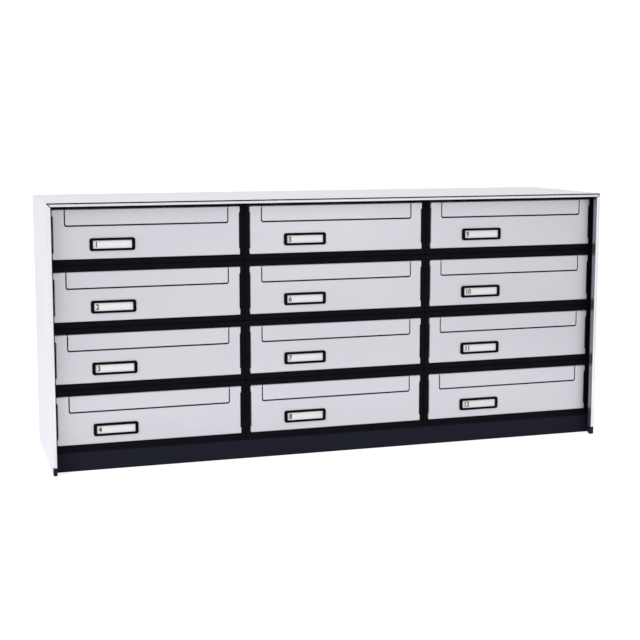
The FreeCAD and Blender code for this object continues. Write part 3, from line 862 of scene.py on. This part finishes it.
def buffer_shape():
    """Two rubber buffers that meet the back of the panel."""
    tips = []
    for x in (flap_x0 + flap_lip_inset, flap_x1 - flap_lip_inset - buffer_width):
        low = Vector((x, sheet_back + buffer_gap, flap_z0 - buffer_reach))
        high = Vector((x + buffer_width, sheet_back + buffer_gap + panel_sheet, flap_z0 + buffer_root))
        tips.append(dressed_sheet(low, high, buffer_dress))
    return merged(tips)


for number in box_numbers:
    body = "flap_%02d" % number
    flap = in_one_box("folded_" + body, flap_shape(), number, panel_aluminium)
    fit(flap, body, "panel_aluminium", body)
    buffers = in_one_box("buffers_" + body, buffer_shape(), number, buffer_rubber_and_shade_strip)
    fit(buffers, body, "black_plastic")


# Flap pins and brackets: a drawn steel wire behind the top edge of each panel, held
# at both ends in small black plastic brackets.
pin_steel, tree, shader = new_finish("pin_steel", (0.55, 0.55, 0.56), 1.0, 0.32)
mottle(tree, grain(tree, 30.0, (0.2, 1, 1), 3.0), (0.5, 0.5, 0.51), (0.6, 0.6, 0.61), shader)
vary(tree, grain(tree, 400.0, (0.1, 1, 1), 3.0), 0.26, 0.4, shader)
relief(tree, grain(tree, 1500.0, (0.05, 1, 1), 2.0), 0.00001, 0.3, shader)
coat_node("flap_pins", pin_steel)
coat_node("flap_brackets", frame_plastic)


# Label holders: black plastic frames with rounded corners on the face of each panel.
# A pocket behind the lip takes the card and the clear pane over it.
holder_width = 90.8 * mm
holder_height = 25.6 * mm
holder_from_left = 71.6 * mm
holder_from_bottom = 16.1 * mm
holder_corner = 4.5 * mm
holder_round = 0.8 * mm
holder_side_bar = 6.5 * mm
holder_long_bar = 4.8 * mm
holder_lip = 1.6 * mm
lip_dress = 0.5 * mm
window_corner = 0.6 * mm
lip_corner = 1.1 * mm
pocket_corner = 0.2 * mm
card_thickness = 0.4 * mm
pane_thickness = 1.0 * mm
card_clearance = 0.2 * mm

holder_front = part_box("label_holders")[0].y
holder_x0 = panel_x0 + holder_from_left
holder_z0 = panel_z0 + holder_from_bottom
holder = (holder_x0, holder_x0 + holder_width, holder_z0, holder_z0 + holder_height)
window = (
    holder[0] + holder_side_bar,
    holder[1] - holder_side_bar,
    holder[2] + holder_long_bar,
    holder[3] - holder_long_bar,
)


def grown(rectangle, by):
    """Rectangle with each side moved outwards."""
    return (rectangle[0] - by, rectangle[1] + by, rectangle[2] - by, rectangle[3] + by)


holder_plastic, tree, shader = new_finish("holder_plastic", (0.0022, 0.0023, 0.003), 0.0, 0.45)
shader.inputs["Specular IOR Level"].default_value = 0.03
mottle(tree, grain(tree, 60.0, (1, 1, 1), 3.0), (0.0017, 0.0018, 0.0024), (0.0027, 0.0028, 0.0036), shader)
vary(tree, grain(tree, 200.0, (1, 1, 1), 3.0), 0.4, 0.52, shader)
relief(tree, grain(tree, 3000.0, (1, 1, 1), 2.0), 0.00002, 0.3, shader)

card_front = panel_face - card_thickness
pane_front = card_front - pane_thickness
pocket = grown(window, holder_lip)
rings = [at_depth(rounded_rectangle(*holder, holder_corner), panel_face)]
rings += rounded_rim(*holder, holder_corner, holder_round, holder_front)
rings.append(at_depth(rounded_rectangle(*grown(window, lip_dress), lip_corner), holder_front))
rings.append(at_depth(rounded_rectangle(*window, window_corner), holder_front + lip_dress))
rings.append(at_depth(rounded_rectangle(*window, window_corner), pane_front))
rings.append(at_depth(rounded_rectangle(*pocket, pocket_corner), pane_front))
rings.append(at_depth(rounded_rectangle(*pocket, pocket_corner), panel_face))
holders = in_every_box("moulded_label_holders", loft(rings, True), holder_plastic)
fit(holders, "cabinet", "black_plastic", "label_holders")


# Label cards and numbers: white card strips, each printed with the plain number of
# its box at the left end, under a loose clear plastic pane.
number_height = 11.4 * mm
number_margin = 3.9 * mm
number_narrowing = 0.85
number_weight = 0.035
stamp_depth = 0.001
ink_depth = 0.03 * mm
card_corner = 0.3 * mm
pane_air = 0.15 * mm
pane_dress = 0.1 * mm

card_stock, tree, shader = new_finish("card_stock", (0.975, 0.978, 0.99), 0.0, 0.6)
shader.inputs["Specular IOR Level"].default_value = 0.3
mottle(tree, grain(tree, 500.0, (1, 1, 4), 4.0), (0.963, 0.966, 0.98), (0.985, 0.988, 0.998), shader)
vary(tree, grain(tree, 800.0, (1, 1, 1), 3.0), 0.52, 0.7, shader)
relief(tree, grain(tree, 4000.0, (1, 1, 3), 3.0), 0.00002, 0.3, shader)

card = grown(pocket, -card_clearance)
rings = [at_depth(rounded_rectangle(*card, card_corner), y) for y in (panel_face, card_front)]
cards = in_every_box("label_card_strips", loft(rings, False), card_stock)
fit(cards, "cabinet", "card", "label_cards")

print_ink, tree, shader = new_finish("print_ink", (0.012, 0.012, 0.014), 0.0, 0.6)
mottle(tree, grain(tree, 900.0, (1, 1, 1), 3.0), (0.009, 0.009, 0.011), (0.016, 0.016, 0.018), shader)
vary(tree, grain(tree, 1500.0, (1, 1, 1), 2.0), 0.5, 0.75, shader)

digits = bmesh.new()
for number in box_numbers:
    words = bpy.data.curves.new("number", "FONT")
    words.body = str(number)
    words.size = 1.0
    words.extrude = stamp_depth
    words.resolution_u = 4
    words.offset = number_weight
    stamp = bpy.data.objects.new("number", words)
    scene.collection.objects.link(stamp)
    depsgraph = bpy.context.evaluated_depsgraph_get()
    printed = bpy.data.meshes.new_from_object(stamp.evaluated_get(depsgraph))
    bpy.data.objects.remove(stamp)
    bpy.data.curves.remove(words)
    low_y = min(vertex.co.y for vertex in printed.vertices)
    high_y = max(vertex.co.y for vertex in printed.vertices)
    size = number_height / (high_y - low_y)
    corner = box_corner(number)
    left = corner.x + window[0] + number_margin
    base = corner.z + (window[2] + window[3] - number_height) / 2
    for vertex in printed.vertices:
        x, y, z = vertex.co
        raised = ink_depth * (z / stamp_depth + 1) / 2
        vertex.co = (left + x * size * number_narrowing, card_front - raised, base + (y - low_y) * size)
    digits.from_mesh(printed)
    bpy.data.meshes.remove(printed)
bmesh.ops.remove_doubles(digits, verts=digits.verts[:], dist=merge_reach)
bmesh.ops.recalc_face_normals(digits, faces=digits.faces[:])
digit_mesh = bpy.data.meshes.new("label_numbers")
digits.to_mesh(digit_mesh)
digits.free()
digit_mesh.materials.append(print_ink)
label_numbers = bpy.data.objects.new("label_numbers", digit_mesh)
scene.collection.objects.link(label_numbers)
fit(label_numbers, "cabinet", "black_paint")

pane_plastic, tree, shader = new_finish("pane_plastic", (0.97, 0.97, 0.97), 0.0, 0.12)
shader.inputs["Alpha"].default_value = 0.02
vary(tree, grain(tree, 300.0, (1, 1, 1), 4.0), 0.08, 0.2, shader)
relief(tree, grain(tree, 60.0, (1, 1, 1), 2.0), 0.00005, 0.2, shader)
pane = grown(pocket, -card_clearance)
rings = [
    at_depth(rounded_rectangle(*pane, card_corner), card_front - pane_air),
    at_depth(rounded_rectangle(*pane, card_corner), pane_front + pane_dress),
    at_depth(rounded_rectangle(*grown(pane, -pane_dress), card_corner), pane_front),
]
panes = in_every_box("label_panes", loft(rings, False), pane_plastic)
fit(panes, "cabinet", "clear_pane", "label_windows")


# Rear doors: aluminium plates that close the collection side, one edge rolled round
# a steel pin. A nickel plated lock housing is bolted through each free edge.
door_sheet = 2.0 * mm
door_overlap = 6.0 * mm
door_barrel = 3.0 * mm
door_bore = 1.55 * mm
door_corner = 4.0 * mm
door_dress = 0.5 * mm
door_dress_steps = 3
barrel_dress = 0.4 * mm
door_margin = 7.0 * mm
lock_from_frame = 18.0 * mm
lock_flange = 10.0 * mm
lock_flange_depth = 2.5 * mm
lock_flange_dress = 0.6 * mm
lock_flange_shoulder = 0.2 * mm
lock_body = 8.0 * mm
lock_body_dress = 0.4 * mm
lock_bore = 5.05 * mm
lock_bore_dress = 0.3 * mm
lock_nut = 12.0 * mm
lock_nut_depth = 4.0 * mm
lock_nut_bevel = 0.7 * mm
lock_nut_bevel_depth = 0.5 * mm
housing_facets = 48
nut_facets = 6

door_low, door_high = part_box("rear_door_01")
door_y0 = door_high.y - 2 * door_barrel
door_y1 = door_y0 + door_sheet
door_axis_x = frame_stile - door_overlap + door_barrel
door_axis_y = door_y0 + door_barrel
door_x1 = box_width - frame_stile + door_overlap
door_z0 = door_margin
door_z1 = box_height - door_margin
lock_x = box_width - frame_stile - lock_from_frame
lock_z = box_height / 2
housing_inner = door_low.y

door_arc_x = door_x1 - door_corner
door_outline = [(door_axis_x, door_z1), (door_axis_x, door_z0)]
door_outline += corner_arc((door_arc_x, door_z0 + door_corner), door_corner, 270, 360, corner_steps)
door_outline += corner_arc((door_arc_x, door_z1 - door_corner), door_corner, 0, 90, corner_steps)

lock_nickel, tree, shader = new_finish("lock_nickel", (0.6, 0.592, 0.578), 1.0, 0.24)
mottle(tree, grain(tree, 80.0, (1, 1, 1), 3.0), (0.56, 0.552, 0.54), (0.64, 0.632, 0.616), shader)
vary(tree, grain(tree, 500.0, (1, 1, 1), 3.0), 0.18, 0.32, shader)
relief(tree, grain(tree, 2500.0, (1, 0.2, 1), 2.0), 0.00001, 0.3, shader)


def door_shape():
    """Plate and rolled hinge edge of one rear door."""
    rings = []
    for y, side in ((door_y0, 1), (door_y1, -1)):
        for step in range(door_dress_steps + 1):
            rolled = door_dress_steps - step if side == 1 else step
            turn = math.radians(90.0 * rolled / door_dress_steps)
            drawn_in = door_dress * (1 - math.cos(turn))
            insets = [0.0] + [drawn_in] * (len(door_outline) - 1)
            rings.append(at_depth(inset(door_outline, insets), y + side * door_dress * (1 - math.sin(turn))))
    plate = loft(rings, False)
    reach = door_z1 - door_z0
    soft = barrel_dress
    barrel_profile = [
        (door_barrel - soft, 0.0),
        (door_barrel, soft),
        (door_barrel, reach - soft),
        (door_barrel - soft, reach),
        (door_bore, reach),
        (door_bore, 0.0),
    ]
    barrel = turned(barrel_profile, (door_axis_x, door_axis_y, door_z0), "z", roll_facets)
    return merged([plate, barrel])


def housing_shape():
    """Round flange, threaded body and hexagon nut of one lock housing."""
    flange_out = door_y1 + lock_flange_depth
    soft = lock_flange_dress
    shoulder = lock_flange_shoulder
    body_profile = [
        (lock_bore, housing_inner),
        (lock_body - lock_body_dress, housing_inner),
        (lock_body, housing_inner + lock_body_dress),
        (lock_body, door_y1),
        (lock_flange, door_y1),
        (lock_flange, flange_out - soft),
        (lock_flange - shoulder, flange_out - shoulder),
        (lock_flange - soft, flange_out),
        (lock_bore + lock_bore_dress, flange_out),
        (lock_bore, flange_out - lock_bore_dress),
    ]
    nut_out = door_y0 - lock_nut_depth
    nut_profile = [
        (lock_body, door_y0),
        (lock_nut, door_y0),
        (lock_nut, nut_out + lock_nut_bevel_depth),
        (lock_nut - lock_nut_bevel, nut_out),
        (lock_body, nut_out),
    ]
    axis = (lock_x, 0.0, lock_z)
    threaded = turned(body_profile, axis, "y", housing_facets)
    nut = turned(nut_profile, axis, "y", nut_facets)
    return merged([threaded, nut])


for number in box_numbers:
    body = "rear_door_%02d" % number
    door = in_one_box("plate_" + body, door_shape(), number, panel_aluminium)
    fit(door, body, "panel_aluminium", body)
    housing = in_one_box("housing_" + body, housing_shape(), number, lock_nickel)
    fit(housing, body, "lock_metal")
coat_node("door_pins", pin_steel)


# Locks: a turned plug with a keyway in each housing and the flat cam on its inner
# end, nickel plated.
for number in box_numbers:
    coat_node("lock_%02d" % number, lock_nickel)
